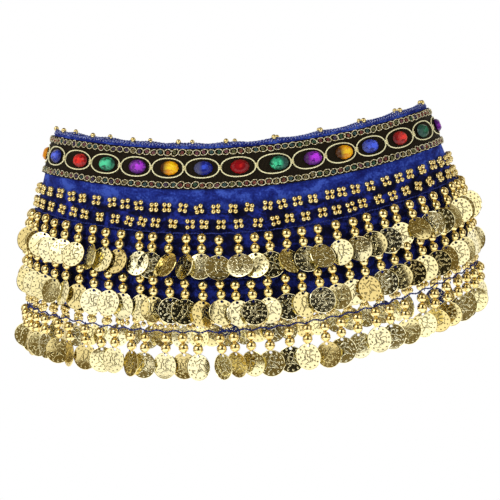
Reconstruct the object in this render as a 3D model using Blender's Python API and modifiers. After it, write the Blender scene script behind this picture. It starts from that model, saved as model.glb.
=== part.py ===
# Belly dance hip scarf as worn: a velvet band round the hips, with a jewelled braid and three coin fringes.
# Metres, +Z up. The origin is the centre of the hollow, level with the top edge at the centre front (-Y).
from collections import namedtuple
from math import cos, pi, radians, sin

import bmesh
import bpy
import numpy as np
from mathutils import Matrix, Vector

# Cloth. Each section of the hollow is an ellipse, and "drop" is the height below the top edge at the front.
Section = namedtuple("Section", "name drop half_width side_rise right_lift")
SECTIONS = (
    Section("top edge", 0.000, 0.1475, 0.0200, 0.0000),
    Section("braid foot", 0.033, 0.1580, 0.0215, 0.0000),
    Section("upper fringe", 0.066, 0.1664, 0.0262, 0.0003),
    Section("hem", 0.129, 0.1770, 0.0285, 0.0032),
)
DEPTH_RATIO = 0.62  # front to back over side to side
WALL = 0.0015
SEAM_GAP = 0.0003
WALL_RINGS = (0.0, 0.033, 0.066, 0.099, 0.129)
WALL_COLUMNS = 70
WRAP_TURN = -0.0053  # share of the way round by which the scarf is turned on the hips

# Closure at the centre back: the plain end slides under the other one.
LAP = 0.036
LAP_STATIONS = 3
LAP_GAP = 0.0003
LAP_SLOPE_START = 0.425  # shares of the way round, counted from the centre front
LAP_SLOPE_END = 0.490
END_GAP = 0.0004

# Braid and gems.
BRAID_TOP = 0.0045
BRAID_FOOT = 0.0330
BRAID_THICKNESS = 0.0012
GEM_COUNT = 29
GEM_SIDES = 8
GEM_WIDTH = 0.0145
GEM_HEIGHT = 0.0108
GEM_TABLE = 0.62  # width of the flat top over the width of the gem
GEM_DEPTH = 0.0034
GEM_COLOURS = ("blue", "red", "green", "purple", "amber")
OVAL_CROWDING = 0.2  # ovals by which the ones on the front curves crowd in towards the centre front
OVAL_CROWDED = 9  # the ovals each side of the centre front that crowd
# How far each gem sits to the right of the middle of its oval, over thirteen ovals from left to right.
GEM_SLIPS = (30, 35, 16, 15, 15, 11, 13, 35, 31, 27, -10, -4, -25)  # tenths of a millimetre

# Crochet edging along the top, with a peak for each of its beads.
EDGE_PEAKS = 21
EDGE_PHASE = -0.22  # share of a scallop from the centre front to the nearest peak
EDGE_HEIGHTS = (0.0034, 0.0024, 0.0016, 0.0024)  # at a peak and at each quarter of the way to the next

# Coin fringes: a thread with one strand of two beads and a coin at each repeat.
THREAD = 0.0015
THREAD_SEAT = 0.0005  # more than a seam's gap, because its straight stretches cut the cloth's curve
ROOT_WIDTH = 0.0020
BEAD = 0.0075
COIN = 0.0200
COIN_THICKNESS = 0.0008
COIN_YAW = radians(15)  # each coin overlaps its neighbour like a tile
UPPER_DROP = 0.0657
MIDDLE_DROP = 0.0990
LOWER_DROP = 0.1389

# Beaded lace between the hem and the lower fringe.
CLUSTER = 0.0075
CLUSTER_DEPTH = 0.0034

Ring = namedtuple("Ring", "name below width depth out yaw")
# Phase is the share of a pitch by which the strands are shifted to the right. Swing is how far a coin's foot
# hangs out beyond its beads.
Fringe = namedtuple("Fringe", "node drop strands phase swing lace")
FRINGES = (
    Fringe("coin_fringe_upper", UPPER_DROP, 70, 0.10, 0.0052, False),
    Fringe("coin_fringe_middle", MIDDLE_DROP, 74, -0.15, 0.0016, False),
    Fringe("coin_fringe_lower", LOWER_DROP, 70, -0.30, 0.0, True),
)

Finish = namedtuple("Finish", "colour roughness metallic")
FINISHES = {
    "velvet": Finish((0.010, 0.025, 0.270), 0.85, 0.0),
    "braid": Finish((0.060, 0.050, 0.030), 0.60, 0.0),
    "gold": Finish((0.850, 0.640, 0.200), 0.22, 1.0),
    "thread": Finish((0.012, 0.030, 0.300), 0.75, 0.0),
    "gem_blue": Finish((0.020, 0.050, 0.600), 0.08, 0.0),
    "gem_red": Finish((0.700, 0.010, 0.010), 0.08, 0.0),
    "gem_green": Finish((0.010, 0.400, 0.180), 0.08, 0.0),
    "gem_purple": Finish((0.350, 0.010, 0.550), 0.08, 0.0),
    "gem_amber": Finish((0.900, 0.380, 0.010), 0.08, 0.0),
}


def arc_table():
    """Shares of the way round, counted from the centre front, and the ellipse angles they fall at."""
    angles = np.linspace(-pi, pi, 1441)
    steps = np.hypot(np.diff(np.sin(angles)), DEPTH_RATIO * np.diff(np.cos(angles)))
    run = np.concatenate([[0.0], np.cumsum(steps)])
    return run / run[-1] - 0.5, angles, run[-1]


ARC_SHARES, ARC_ANGLES, UNIT_GIRTH = arc_table()


def column_curve(column):
    """The cubic through one column of the section table."""
    drops = [section.drop for section in SECTIONS]
    return np.polyfit(drops, [getattr(section, column) for section in SECTIONS], len(SECTIONS) - 1)


CURVES = {column: column_curve(column) for column in ("half_width", "side_rise", "right_lift")}


def section_size(column, drop):
    """A size of the section at this drop. Below the lower thread everything hangs straight down."""
    return float(np.polyval(CURVES[column], min(drop, LOWER_DROP)))


def girth(drop):
    return UNIT_GIRTH * section_size("half_width", drop)


def smooth_step(value):
    value = min(max(value, 0.0), 1.0)
    return value * value * (3 - 2 * value)


def lap_sink(share):
    """How far the cloth has moved in towards the body, to pass under the other end."""
    run = (share - LAP_SLOPE_START) / (LAP_SLOPE_END - LAP_SLOPE_START)
    return (WALL + LAP_GAP) * smooth_step(run)


def body_point(share, drop):
    """A point of the outer face of the cloth, before the lap."""
    angle = np.interp((share + WRAP_TURN + 0.5) % 1.0 - 0.5, ARC_SHARES, ARC_ANGLES)
    half_width = section_size("half_width", drop)
    rise = section_size("side_rise", drop) * sin(angle) ** 2
    lift = section_size("right_lift", drop) * sin(angle)
    return Vector((half_width * sin(angle), -DEPTH_RATIO * half_width * cos(angle), rise + lift - drop))


def cloth_axes(share, drop):
    """Unit vectors along the row, down the cloth and out of it."""
    step = 0.0005
    along = (body_point(share + step, drop) - body_point(share - step, drop)).normalized()
    down = (body_point(share, drop + step) - body_point(share, drop - step)).normalized()
    outwards = down.cross(along).normalized()
    return along, along.cross(outwards), outwards


def on_cloth(share, drop, proud=0.0):
    """The point that lies this far out from the cloth."""
    outwards = cloth_axes(share, drop)[2]
    return body_point(share, drop) + outwards * (proud - lap_sink(share))


def even_shares(count, phase=0.0):
    """Places evenly spaced all the way round, shifted to the right by this share of their pitch."""
    return [(number + 0.5 + phase) / count - 0.5 for number in range(count)]


def material(name):
    made = bpy.data.materials.get(name)
    if made is None:
        made = bpy.data.materials.new(name)
        made.use_nodes = True
        shader = made.node_tree.nodes["Principled BSDF"]
        finish = FINISHES[name]
        shader.inputs["Base Color"].default_value = (*finish.colour, 1.0)
        shader.inputs["Roughness"].default_value = finish.roughness
        shader.inputs["Metallic"].default_value = finish.metallic
    return made


def add_object(name, bm, finish, collection):
    """Closes off a bmesh as one named object of the scarf."""
    bmesh.ops.recalc_face_normals(bm, faces=bm.faces)
    mesh = bpy.data.meshes.new(name)
    bm.to_mesh(mesh)
    bm.free()
    mesh.materials.append(material(finish))
    made = bpy.data.objects.new(name, mesh)
    collection.objects.link(made)
    return made


def cloth_strip(name, shares, drops, proud, thickness, outwards, finish, collection):
    """A sheet laid on the cloth through these shares and drops, given its thickness outwards or inwards."""
    bm = bmesh.new()
    columns, rows = len(shares) - 1, len(drops) - 1
    bmesh.ops.create_grid(bm, x_segments=columns, y_segments=rows, size=0.5)
    for vert in bm.verts:
        column = round((vert.co.x + 0.5) * columns)
        row = round((0.5 - vert.co.y) * rows)
        vert.co = on_cloth(shares[column], drops[row], proud)
    mesh = bpy.data.meshes.new(name)
    bm.to_mesh(mesh)
    bm.free()
    mesh.materials.append(material(finish))
    sheet = bpy.data.objects.new(name, mesh)
    collection.objects.link(sheet)
    shell = sheet.modifiers.new("Thickness", "SOLIDIFY")
    shell.thickness = thickness
    shell.offset = 1.0 if outwards else -1.0
    shell.use_even_offset = True
    return sheet


def velvet_band(collection):
    """The main panel, with the plain under lap past its right end."""
    lap = LAP / girth(0.0)
    shares = [-0.5, *even_shares(WALL_COLUMNS), 0.5]
    shares += [0.5 + lap * (i + 1) / LAP_STATIONS for i in range(LAP_STATIONS)]
    cloth_strip("velvet_band", shares, WALL_RINGS, 0.0, WALL, False, "velvet", collection)


def jewel_braid(collection):
    """The ribbon that carries the gems, sewn along the top of the band."""
    end = 0.5 - END_GAP / girth(0.0)
    shares = [-end, *even_shares(WALL_COLUMNS), end]
    middle = (BRAID_TOP + BRAID_FOOT) / 2
    drops = (BRAID_TOP, middle, BRAID_FOOT)
    cloth_strip("jewel_braid", shares, drops, SEAM_GAP, BRAID_THICKNESS, True, "braid", collection)


def oval_share(place):
    """The middle of the oval at this place, counted from the centre front."""
    reach = min(abs(place) / OVAL_CROWDED, 1.0)
    crowding = OVAL_CROWDING * sin(pi * reach) ** 3
    return (place - crowding if place > 0 else place + crowding) / GEM_COUNT


def gem_slip(place):
    """How far the gem at this place sits to the right in its oval. The two beside the lap are centred."""
    if abs(place) == GEM_COUNT // 2:
        return 0.0
    return GEM_SLIPS[(place + len(GEM_SLIPS) // 2) % len(GEM_SLIPS)] * 0.0001


def gem(place, collection):
    """One faceted oval stone, its base just off the braid."""
    drop = (BRAID_TOP + BRAID_FOOT) / 2
    share = oval_share(place) + gem_slip(place) / girth(drop)
    along, down, outwards = cloth_axes(share, drop)
    bm = bmesh.new()
    bmesh.ops.create_cone(
        bm, cap_ends=True, segments=GEM_SIDES, radius1=0.5, radius2=0.5 * GEM_TABLE, depth=GEM_DEPTH
    )
    bmesh.ops.scale(bm, vec=(GEM_WIDTH, GEM_HEIGHT, 1.0), verts=bm.verts)
    base = SEAM_GAP + BRAID_THICKNESS + SEAM_GAP + GEM_DEPTH / 2
    axes = Matrix((along, -down, outwards)).transposed().to_4x4()
    bmesh.ops.transform(bm, matrix=Matrix.Translation(on_cloth(share, drop, base)) @ axes, verts=bm.verts)
    colour = GEM_COLOURS[(place + 1) % len(GEM_COLOURS)]
    add_object(f"gem_{place + GEM_COUNT // 2 + 1:02d}", bm, f"gem_{colour}", collection)


def strand_rings(fringe):
    """The strand's sections from the thread down: bead, waist, bead, then the coin turned like a tile."""
    bead_out = THREAD_SEAT + BEAD / 2
    first, second = BEAD * 0.6, BEAD * 1.61
    coin_top = second + BEAD / 2
    chord = COIN * 0.5
    swing = fringe.swing
    return (
        Ring("first bead", first, BEAD, BEAD, bead_out, 0.0),
        Ring("waist", (first + second) / 2, BEAD * 0.35, BEAD * 0.35, bead_out, 0.0),
        Ring("second bead", second, BEAD, BEAD, bead_out, 0.0),
        Ring("coin top", coin_top, chord, COIN_THICKNESS, bead_out, COIN_YAW),
        Ring("coin middle", coin_top + COIN / 2, COIN, COIN_THICKNESS, bead_out + swing * 0.5, COIN_YAW),
        Ring("coin foot", coin_top + COIN, chord, COIN_THICKNESS, bead_out + swing, COIN_YAW),
    )


def lace_rings():
    """The bead cluster that joins the lower thread to the hem, from the thread up."""
    rise = LOWER_DROP - THREAD - SECTIONS[-1].drop - SEAM_GAP
    middle = THREAD_SEAT + THREAD / 2
    return (
        Ring("cluster middle", -THREAD - rise / 2, CLUSTER, CLUSTER_DEPTH, middle + CLUSTER_DEPTH / 4, 0.0),
        Ring("cluster top", -THREAD - rise, ROOT_WIDTH, THREAD, middle, 0.0),
    )


def grow(bm, face, share, drop, rings):
    """Extrudes a face of the thread through the rings, each square to the cloth but for its yaw."""
    along, _, outwards = cloth_axes(share, drop)
    centre = face.calc_center_median()
    signs = [(1 if (v.co - centre).dot(along) > 0 else -1, 1 if (v.co - centre).dot(outwards) > 0 else -1)
             for v in face.verts]
    for ring in rings:
        face = bmesh.ops.extrude_discrete_faces(bm, faces=[face])["faces"][0]
        place = on_cloth(share, drop + ring.below, ring.out)
        side = along * cos(ring.yaw) + outwards * sin(ring.yaw)
        front = outwards * cos(ring.yaw) - along * sin(ring.yaw)
        for vert, (across, out) in zip(face.verts, signs):
            vert.co = place + side * (across * ring.width / 2) + front * (out * ring.depth / 2)


def thread_corners(share, fringe):
    """The thread's section: three corners where it lies on the cloth, four where lace rises from it too."""
    inner, outer = THREAD_SEAT, THREAD_SEAT + THREAD
    foot, top = fringe.drop, fringe.drop - THREAD
    corners = [(foot, inner), (foot, outer)] + ([(top, outer)] if fringe.lace else []) + [(top, inner)]
    return [on_cloth(share, drop, proud) for drop, proud in corners]


def draw_thread(bm, sections):
    """Extrudes a closed thread through sections of corners, and gives back the corners of each section."""
    face = bm.faces.new([bm.verts.new(place) for place in sections[0]])
    drawn = [list(face.verts)]
    for section in sections[1:]:
        face = bmesh.ops.extrude_discrete_faces(bm, faces=[face])["faces"][0]
        for vert, place in zip(face.verts, section):
            vert.co = place
        drawn.append(list(face.verts))
    bm.faces.new(drawn[0])
    return drawn


def shared_face(corners):
    """The one face that holds all these corners."""
    return next(face for face in corners[0].link_faces if all(corner in face.verts for corner in corners))


def top_edging(collection):
    """The crochet thread along the top edge, three-sided, rising to a peak under each bead."""
    end = 0.5 - END_GAP / girth(0.0)
    quarters = len(EDGE_HEIGHTS)
    steps = [(number / quarters + EDGE_PHASE) / EDGE_PEAKS for number in range(quarters * EDGE_PEAKS)]
    turns = sorted(((share + 0.5) % 1.0 - 0.5, number % quarters) for number, share in enumerate(steps))
    stations = [(-end, quarters // 2), *turns, (end, quarters // 2)]
    sections = []
    for share, quarter in stations:
        peak = on_cloth(share, -SEAM_GAP - EDGE_HEIGHTS[quarter], -WALL / 2)
        sections.append([on_cloth(share, -SEAM_GAP, 0.0), peak, on_cloth(share, -SEAM_GAP, -WALL)])
    bm = bmesh.new()
    draw_thread(bm, sections)
    add_object("top_edging", bm, "thread", collection)


def coin_fringe(fringe, collection):
    """A thread round the scarf, with a strand grown from each narrow root."""
    root = ROOT_WIDTH / 2 / girth(fringe.drop)
    end = 0.5 - END_GAP / girth(fringe.drop)
    middles = even_shares(fringe.strands, fringe.phase)
    shares = [-end, *[middle + side * root for middle in middles for side in (-1, 1)], end]
    bm = bmesh.new()
    drawn = draw_thread(bm, [thread_corners(share, fringe) for share in shares])
    for number, share in enumerate(middles):
        left, right = drawn[2 * number + 1], drawn[2 * number + 2]
        grow(bm, shared_face([*left[:2], *right[:2]]), share, fringe.drop, strand_rings(fringe))
        if fringe.lace:
            grow(bm, shared_face([*left[-2:], *right[-2:]]), share, fringe.drop, lace_rings())
    add_object(fringe.node, bm, "gold", collection)


def main():
    for old in list(bpy.data.objects):
        bpy.data.objects.remove(old)
    scarf = bpy.data.collections.new("Hip scarf")
    bpy.context.scene.collection.children.link(scarf)
    velvet_band(scarf)
    top_edging(scarf)
    jewel_braid(scarf)
    for place in range(-(GEM_COUNT // 2), GEM_COUNT // 2 + 1):
        gem(place, scarf)
    for fringe in FRINGES:
        coin_fringe(fringe, scarf)


main()
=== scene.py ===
# Belly dance hip scarf as worn: the looks of its velvet, thread, jewelled braid, stones, beads and coins.
from functools import partial
import math

import bpy
import numpy as np
from mathutils import Matrix


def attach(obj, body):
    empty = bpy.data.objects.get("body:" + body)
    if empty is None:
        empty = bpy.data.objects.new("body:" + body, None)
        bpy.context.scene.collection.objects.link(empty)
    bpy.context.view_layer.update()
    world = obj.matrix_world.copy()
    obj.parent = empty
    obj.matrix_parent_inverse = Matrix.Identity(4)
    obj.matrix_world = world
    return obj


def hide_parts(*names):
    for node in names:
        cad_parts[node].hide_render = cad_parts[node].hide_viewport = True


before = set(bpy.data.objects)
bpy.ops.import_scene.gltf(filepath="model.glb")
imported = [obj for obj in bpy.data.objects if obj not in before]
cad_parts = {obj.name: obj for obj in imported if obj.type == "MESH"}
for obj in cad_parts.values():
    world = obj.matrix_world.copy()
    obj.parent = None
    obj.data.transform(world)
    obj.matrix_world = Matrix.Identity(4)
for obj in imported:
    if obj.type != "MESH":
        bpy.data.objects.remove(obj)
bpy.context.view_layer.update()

# The form of the worn cloth, in metres. A place on it is a share of the way round, counted from the
# centre front towards the right, and a drop below the top edge at the front.
hips = {
    "drops": (0.0, 0.033, 0.066, 0.129),
    "halfWidths": (0.1475, 0.1580, 0.1664, 0.1770),
    "sideRises": (0.0200, 0.0215, 0.0262, 0.0285),
    "rightLifts": (0.0, 0.0, 0.0003, 0.0032),
    "depthRatio": 0.62,  # front to back over side to side
    "hangsFrom": 0.1389,  # below this drop everything hangs straight down
    "turn": -0.0053,  # share of the way round by which the scarf is turned on the hips
    "wall": 0.0015,
    "lap": 0.036,  # the plain end that slides under the other one at the centre back
    "lapGap": 0.0003,
    "slopeFrom": 0.425,  # shares between which the lower end sinks under the upper one
    "slopeTo": 0.490,
    "threadEnd": 0.4993,  # share at which the sewn threads stop, just short of the lap's edge
    "sagReach": 0.07,  # share from the centre front in which a row sags
}

arcAngles = np.linspace(-np.pi, np.pi, 1441)
arcSteps = np.hypot(np.diff(np.sin(arcAngles)), hips["depthRatio"] * np.diff(np.cos(arcAngles)))
arcRun = np.concatenate([[0.0], np.cumsum(arcSteps)])
arcShares = arcRun / arcRun[-1] - 0.5
formCurves = {key: np.polyfit(hips["drops"], hips[key], 3)
              for key in ("halfWidths", "sideRises", "rightLifts")}


def girthAt(drop):  # the ellipse's girth grows with its half width
    return arcRun[-1] * np.polyval(formCurves["halfWidths"], np.minimum(drop, hips["hangsFrom"]))


def smoothStep(low, high, value):  # 0 below low, 1 above high, 3t^2 - 2t^3 between
    t = np.clip((value - low) / (high - low), 0, 1)
    return t * t * (3 - 2 * t)


def roundPoint(share, drop):
    # x = a sin(angle), y = -ratio a cos(angle), z = rise sin^2(angle) + lift sin(angle) - drop
    share, drop = np.broadcast_arrays(np.asarray(share, float), np.asarray(drop, float))
    angle = np.interp((share + hips["turn"] + 0.5) % 1.0 - 0.5, arcShares, arcAngles)
    half, rise, lift = (np.polyval(formCurves[key], np.minimum(drop, hips["hangsFrom"]))
                        for key in ("halfWidths", "sideRises", "rightLifts"))
    sine, cosine = np.sin(angle), np.cos(angle)
    height = rise * sine ** 2 + lift * sine - drop
    return np.stack([half * sine, -hips["depthRatio"] * half * cosine, height], -1)


def unit(vectors):
    return vectors / np.linalg.norm(vectors, axis=-1, keepdims=True)


def clothAxes(share, drop):  # unit vectors along the row, down the cloth and out of it, from small steps
    step = 0.0005
    along = unit(roundPoint(share + step, drop) - roundPoint(share - step, drop))
    down = unit(roundPoint(share, drop + step) - roundPoint(share, drop - step))
    out = unit(np.cross(down, along))
    return along, np.cross(along, out), out


def onCloth(share, drop, proud):  # the cloth's point moved out by proud, and in by the lap's slope
    share, drop, proud = np.broadcast_arrays(*(np.asarray(v, float) for v in (share, drop, proud)))
    sink = (hips["wall"] + hips["lapGap"]) * smoothStep(hips["slopeFrom"], hips["slopeTo"], share)
    return roundPoint(share, drop) + clothAxes(share, drop)[2] * (proud - sink)[..., None]


def evenShares(count, phase=0.0):  # the middles of equal stretches all round, moved on by phase of a stretch
    return (np.arange(count) + 0.5 + phase) / count - 0.5


def rowDrop(share, drop, sag):  # a row hangs at its drop at the centre front, and rises by sag to each side
    return drop - sag * (1 - np.exp(-(np.asarray(share) / hips["sagReach"]) ** 2))


def inScene(name, data):  # a new object for the data, linked to the scene
    item = bpy.data.objects.new(name, data)
    bpy.context.scene.collection.objects.link(item)
    return item


def dress(piece, replaced=()):  # every piece rides on the one body and hides the parts it replaces
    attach(piece, "root")
    if replaced:
        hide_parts(*replaced)
    return piece


def addValues(mesh, domain, values):  # numbers or colours for each point or face, which the material reads
    for key, numbers in values.items():
        kind, width = ("FLOAT", "value") if numbers.ndim == 1 else ("FLOAT_COLOR", "color")
        attribute = mesh.attributes.new(key, kind, domain)
        attribute.data.foreach_set(width, np.ascontiguousarray(numbers, np.float32).ravel())


def makeMesh(name, points, faceSets, uvSets, materials, smooth=True):  # from index arrays of any face size
    corners = np.concatenate([faces.ravel() for faces in faceSets])
    counts = np.concatenate([np.full(len(faces), faces.shape[1]) for faces in faceSets])
    mesh = bpy.data.meshes.new(name)
    mesh.vertices.add(len(points))
    mesh.vertices.foreach_set("co", np.ascontiguousarray(points, np.float32).ravel())
    mesh.loops.add(len(corners))
    mesh.loops.foreach_set("vertex_index", corners.astype(np.int32))
    mesh.polygons.add(len(counts))
    mesh.polygons.foreach_set("loop_start", np.concatenate([[0], np.cumsum(counts)[:-1]]).astype(np.int32))
    mesh.update(calc_edges=True)
    mesh.polygons.foreach_set("use_smooth", np.full(len(counts), smooth))
    layer = mesh.uv_layers.new(name="surface")
    layer.data.foreach_set("uv", np.concatenate([uvs.ravel() for uvs in uvSets]).astype(np.float32))
    for material in materials:
        mesh.materials.append(material)
    return mesh


def meshPiece(name, shape, material, replaced=(), values=None, smooth=True):
    # A closed shape whose signed volume is negative is inside out, so its faces are turned round.
    points, faceSets, uvSets = shape
    volume = 0.0
    for faces in faceSets:
        a = points[faces[:, 0]]
        for k in range(1, faces.shape[1] - 1):
            volume += np.einsum("ij,ij->", a, np.cross(points[faces[:, k]], points[faces[:, k + 1]]))
    if volume < 0:
        faceSets, uvSets = ([each[:, ::-1] for each in sets] for sets in (faceSets, uvSets))
    mesh = makeMesh(name, points, faceSets, uvSets, [material], smooth)
    addValues(mesh, "POINT", values or {})
    mesh.validate()
    return dress(inScene(name, mesh), replaced)


def gridFaces(rows, columns, roundRows=False, roundColumns=False):
    # Quads (i,j), (i,j+1), (i+1,j+1), (i+1,j) of a grid, and the same corners unwrapped, for its UV map.
    i, j = np.meshgrid(np.arange(rows - (not roundRows)), np.arange(columns - (not roundColumns)),
                       indexing="ij")
    i, j = i.ravel(), j.ravel()
    cornerRows = np.stack([i, i, i + 1, i + 1], -1)
    cornerColumns = np.stack([j, j + 1, j + 1, j], -1)
    return (cornerRows % rows) * columns + cornerColumns % columns, cornerRows, cornerColumns


def clothSheet(name, points, across, down, finishes, thickness, replaced):
    # A grid of points as a sheet that faces away from the middle, mapped in millimetres along and down the
    # cloth. Its thickness goes inwards, and its inner side has the last of its finishes.
    quads = gridFaces(*across.shape)[0]
    points = points.reshape(-1, 3)
    uvs = np.stack([across.ravel()[quads], down.ravel()[quads]], -1) * 1000
    middle = quads[len(quads) // 2]
    normal = np.cross(points[middle[1]] - points[middle[0]], points[middle[3]] - points[middle[0]])
    if normal @ (points[middle[0]] * (1, 1, 0)) < 0:
        quads, uvs = quads[:, ::-1], uvs[:, ::-1]
    piece = dress(inScene(name, makeMesh(name, points, [quads], [uvs], finishes)), replaced)
    shell = piece.modifiers.new("thickness", "SOLIDIFY")
    shell.material_offset = len(finishes) - 1
    shell.thickness = thickness
    shell.offset = -1.0
    return piece


def alongPath(path, closed=False):  # run of length at each point of a path, and back at its start if closed
    ahead = np.roll(path, -1, 0) if closed else path[1:]
    steps = np.linalg.norm(ahead - (path if closed else path[:-1]), axis=-1)
    return np.concatenate([[0.0], np.cumsum(steps)])


def evenly(path, step, *others):  # the path and what goes with it, read again at even steps of its length
    run = alongPath(path)
    places = np.linspace(0, run[-1], max(int(run[-1] / step), 2) + 1)
    return [np.stack([np.interp(places, run, column) for column in table.T], -1) for table in (path, *others)]


def tube(path, outs, radius, sides, plyPitch=0.0, plyDepth=0.0, closed=False):
    # A ring of radius r round each point of the path. With plies, r shrinks by a sine that turns with the
    # run, so two strands seem to twist round each other: r (1 - depth sin^2(angle - pi run / pitch)). A
    # closed path has a whole number of turns.
    tangent = unit(np.roll(path, -1, 0) - np.roll(path, 1, 0) if closed else np.gradient(path, axis=0))
    side = unit(np.cross(outs, tangent))
    front = np.cross(tangent, side)
    run = alongPath(path, closed)
    angle = np.arange(sides) * 2 * np.pi / sides
    size = np.full((len(path), sides), radius)
    if plyPitch:
        pitch = run[-1] / max(round(run[-1] / plyPitch), 1) if closed else plyPitch
        size = size * (1 - plyDepth * np.sin(angle - np.pi * run[:len(path), None] / pitch) ** 2)
    ring = np.cos(angle)[None, :, None] * side[:, None] + np.sin(angle)[None, :, None] * front[:, None]
    points = (path[:, None] + ring * size[..., None]).reshape(-1, 3)
    quads, cornerRows, cornerColumns = gridFaces(len(path), sides, roundRows=closed, roundColumns=True)
    uvs = np.stack([cornerColumns / sides, run[cornerRows] * 1000], -1)
    if closed:
        return points, [quads], [uvs]
    ends = np.stack([np.arange(sides)[::-1], (len(path) - 1) * sides + np.arange(sides)])
    endUvs = np.zeros((2, sides, 2))
    endUvs[1, :, 1] = run[-1] * 1000
    return points, [quads, ends], [uvs, endUvs]


def twistedLine(share, drop, proud, radius, sides=6, pitch=0.0026):  # thread laid on the cloth in even steps
    path, outs = evenly(onCloth(share, drop, proud), 0.0006, clothAxes(share, drop)[2])
    return tube(path, outs, radius, sides, pitch, plyDepth=0.4)


def joined(shapes):  # several (points, faceSets, uvSets) as one
    shift, points, faceSets, uvSets = 0, [], [], []
    for shapePoints, shapeFaces, shapeUvs in shapes:
        points.append(shapePoints)
        faceSets += [faces + shift for faces in shapeFaces]
        uvSets += shapeUvs
        shift += len(shapePoints)
    return np.concatenate(points), faceSets, uvSets


def copies(shape, centres, axes):
    # One shape set at every centre: point = centre + x axis0 + y axis1 + z axis2, all copies as whole arrays.
    points, faceSets, uvSets = shape
    placed = centres[:, None] + np.einsum("pk,nkc->npc", points, axes)
    shifts = np.arange(len(centres)) * len(points)
    faces = [(each[None] + shifts[:, None, None]).reshape(-1, each.shape[1]) for each in faceSets]
    return placed.reshape(-1, 3), faces, [np.tile(each, (len(centres), 1, 1)) for each in uvSets]


def stackedRings(levels, sides):  # circles, each with its radius, height, middle's y and turn in sides
    a = np.arange(sides) * 2 * np.pi / sides
    rings = []
    for radius, height, middle, turn in levels:
        b = a + turn * a[1]
        rings.append(np.stack([radius * np.cos(b), middle + radius * np.sin(b), np.full(sides, height)], -1))
    return np.concatenate(rings)


def ballShape(around, bands):
    # Unit ball: rings of radius sin t at the height cos t, between two poles on z.
    angles = np.linspace(0, np.pi, bands + 1)[1:-1]
    rings = stackedRings([(math.sin(t), math.cos(t), 0.0, 0.0) for t in angles], around)
    points = np.concatenate([rings, [[0, 0, 1], [0, 0, -1]]])
    quads, cornerRows, cornerColumns = gridFaces(bands - 1, around, roundColumns=True)
    near = np.arange(around)
    ahead = (near + 1) % around
    last = (bands - 2) * around
    caps = np.concatenate([np.stack([np.full(around, len(rings)), ahead, near], -1),
                           np.stack([np.full(around, len(rings) + 1), last + near, last + ahead], -1)])
    uvs = np.stack([cornerColumns / around, cornerRows / bands], -1).astype(float)
    return points, [quads, caps], [uvs, np.zeros((len(caps), 3, 2))]


def turned(axisA, axisB, angle):  # two axes turned in their own plane
    cosine, sine = np.cos(angle)[..., None], np.sin(angle)[..., None]
    return axisA * cosine + axisB * sine, axisB * cosine - axisA * sine


# Materials

def linear(code):  # an sRGB hex value as linear light
    parts = [int(code[k:k + 2], 16) / 255 for k in (1, 3, 5)]
    return (*(c / 12.92 if c <= 0.04045 else ((c + 0.055) / 1.055) ** 2.4 for c in parts), 1.0)


def setInputs(tree, node, values):  # each input gets a value, or a link from another node's output
    for key, value in values.items():
        socket = node.inputs[key.replace("_", " ") if isinstance(key, str) else key]
        if isinstance(value, bpy.types.NodeSocket):
            tree.links.new(value, socket)
        else:
            socket.default_value = value


def addNode(tree, kind, inputs=(), take=0, stops=(), **named):
    # Adds one node and gives the output that is taken from it. Its inputs are a tuple or a dictionary by
    # place, or capitalised names. The other names are its settings, and stops are a ramp's colours.
    made = tree.nodes.new("ShaderNode" + kind)
    for key in [name for name in named if name.islower()]:
        setattr(made, key, named.pop(key))
    setInputs(tree, made, {**(dict(enumerate(inputs)) if isinstance(inputs, tuple) else inputs), **named})
    for k, (place, code) in enumerate(stops):
        elements = made.color_ramp.elements
        element = elements[k] if k < 2 else elements.new(place)
        element.position = place
        element.color = linear(code) if isinstance(code, str) else (code, code, code, 1)
    return made.outputs[take]


def startMaterial(name):  # a material with a Principled shader, and the function that adds to its nodes
    made = bpy.data.materials.new(name)
    made.use_nodes = True
    return made, partial(addNode, made.node_tree)


def shaded(material, **values):  # the values and the nodes' outputs go into the shader's inputs
    tree = material.node_tree
    setInputs(tree, tree.nodes["Principled BSDF"], values)
    return material


def velvetFinish():
    # Crushed stretch velvet: polyester pile laid over in patches, dark where it stands and light where it
    # lies. From the first bead row down it turns to a darker copy: painted shade under the beads and coins.
    made, add = startMaterial("crushedVelvet")
    surface = add("UVMap", uv_map="surface")
    laid = add("VectorMath", (surface, (0.06, 0.11, 1.0)), operation="MULTIPLY")  # patches 17 by 9 mm
    crush = add("TexNoise", Vector=laid, Scale=1.0, Detail=3.0, Distortion=0.8)
    pile = add("TexNoise", Vector=add("TexCoord", take="Object"), Scale=620.0, Detail=2.0)  # 1.6 mm tufts
    fine = add("Math", (pile, 0.3), operation="MULTIPLY")
    half = add("Math", (crush, 0.7, fine), operation="MULTIPLY_ADD")
    bright = add("ValToRGB", (half,), stops=((0.38, "#101862"), (0.5, "#20328E"), (0.6, "#3E58BC")))
    # the same velvet darker, as painted shade for the rows under the beads and coins
    shadedVelvet = add("ValToRGB", (half,), stops=((0.38, "#080822"), (0.5, "#0E1246"), (0.62, "#2838A4")))
    # where the painted shade comes in, from 42 to 51 mm down
    shadeBelowRows = add("MapRange", (add("SeparateXYZ", (surface,), take="Y"), 42.0, 51.0))  # millimetres down
    mix = add("Mix", {0: shadeBelowRows, 6: bright, 7: shadedVelvet}, take=2, data_type="RGBA")
    bump = add("Bump", Height=half, Strength=0.6, Distance=0.0012)
    return shaded(made, Base_Color=mix, Normal=bump, Roughness=0.9, Specular_IOR_Level=0.15,
                  Sheen_Weight=0.25, Sheen_Roughness=0.35, Sheen_Tint=linear("#5A78F0"))


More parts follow.
